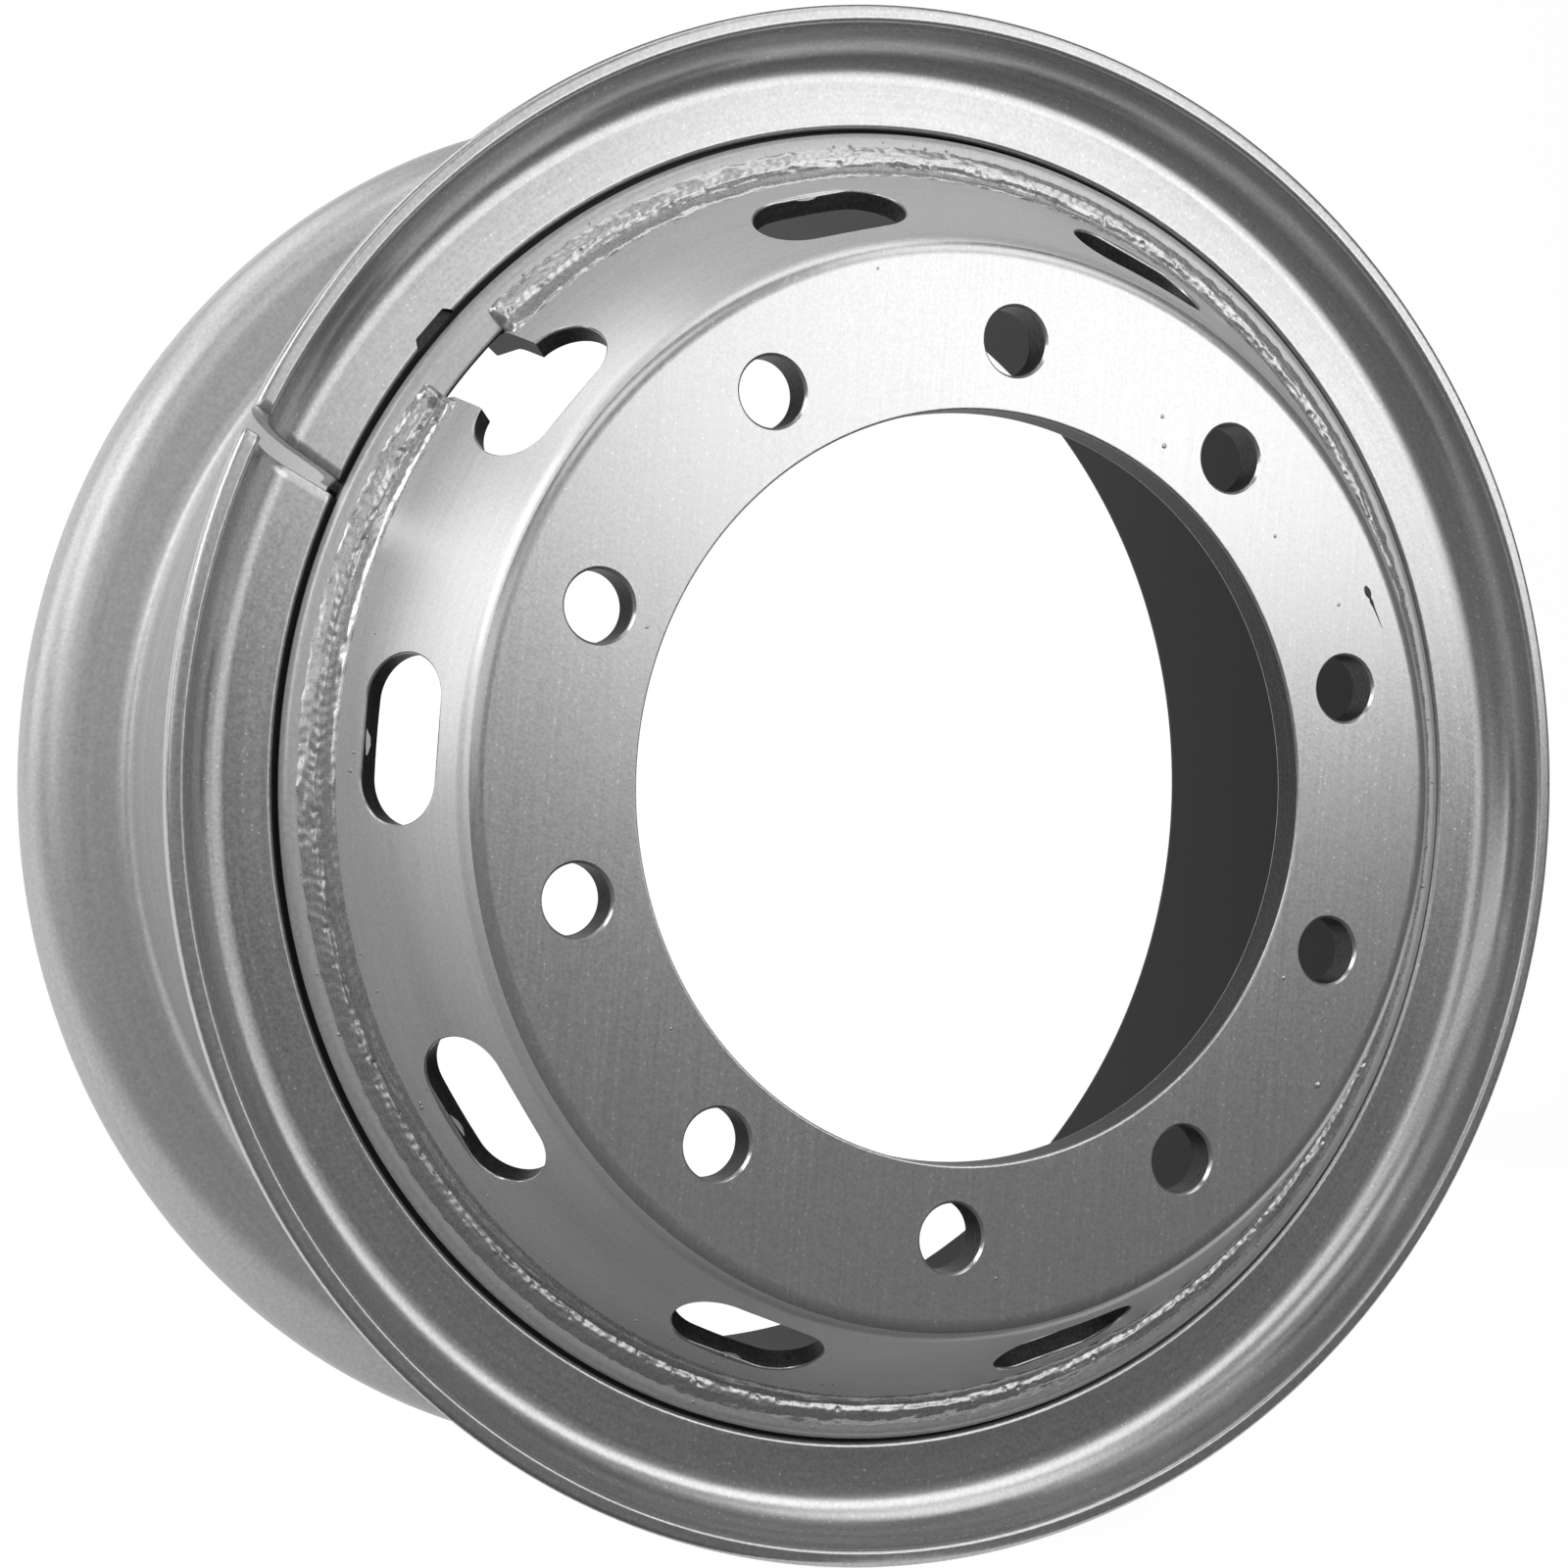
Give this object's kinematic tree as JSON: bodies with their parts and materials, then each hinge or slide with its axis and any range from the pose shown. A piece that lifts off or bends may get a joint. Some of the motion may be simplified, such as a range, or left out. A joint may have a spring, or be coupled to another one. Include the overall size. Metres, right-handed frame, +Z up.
{
  "type": "truck wheel",
  "caption": "Steel truck disc wheel with a split side ring, a gutter rim, a dished bolt-on disc with hand holes and a valve notch.",
  "frame": {"origin": "on the wheel's axis, in the middle plane of the rim between the two bead seats", "axes": "+Y along the axle, inboard towards the hub; the disc's outboard face looks along -Y; +Z up with a stud hole at the top"},
  "size_m": [0.597, 0.2755, 0.597],
  "materials": {
    "rim_paint": "satin",
    "ring_paint": "satin",
    "disc_paint": "satin",
    "weld_paint": "rough"
  },
  "bodies": {
    "root": {"rim_base": "rim_paint", "side_ring": "ring_paint", "wheel_disc": "disc_paint", "disc_weld": "weld_paint"}
  },
  "joints": []
}
